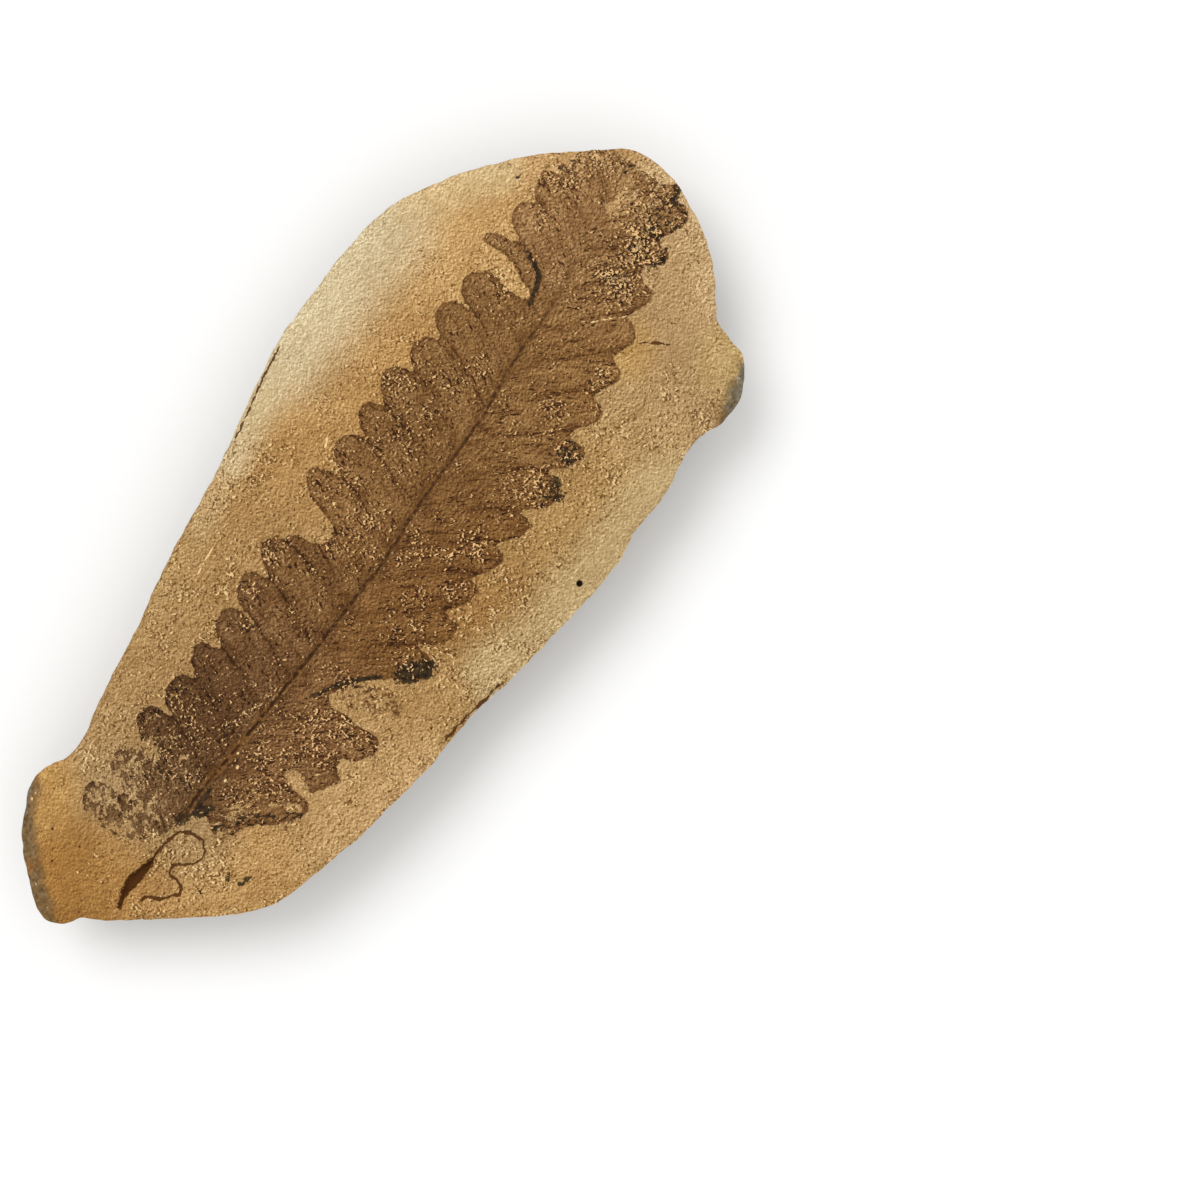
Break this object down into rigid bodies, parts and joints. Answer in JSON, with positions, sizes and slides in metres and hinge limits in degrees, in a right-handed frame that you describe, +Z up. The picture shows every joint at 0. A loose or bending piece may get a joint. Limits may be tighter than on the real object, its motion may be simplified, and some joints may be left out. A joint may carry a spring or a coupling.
{
  "type": "fossil fern plate",
  "caption": "Half of a split ironstone nodule with a fern frond fossil in low relief on its flat split face and a rounded back.",
  "frame": {"origin": "on the surface that the plate lies on, under the middle of its bounding box", "axes": "+X along the plate towards the frond's tip, +Z up out of the split face"},
  "size_m": [0.122, 0.0512, 0.013],
  "materials": {
    "ironstone": "matte"
  },
  "bodies": {
    "root": {"fossil_plate": "ironstone"}
  },
  "joints": []
}
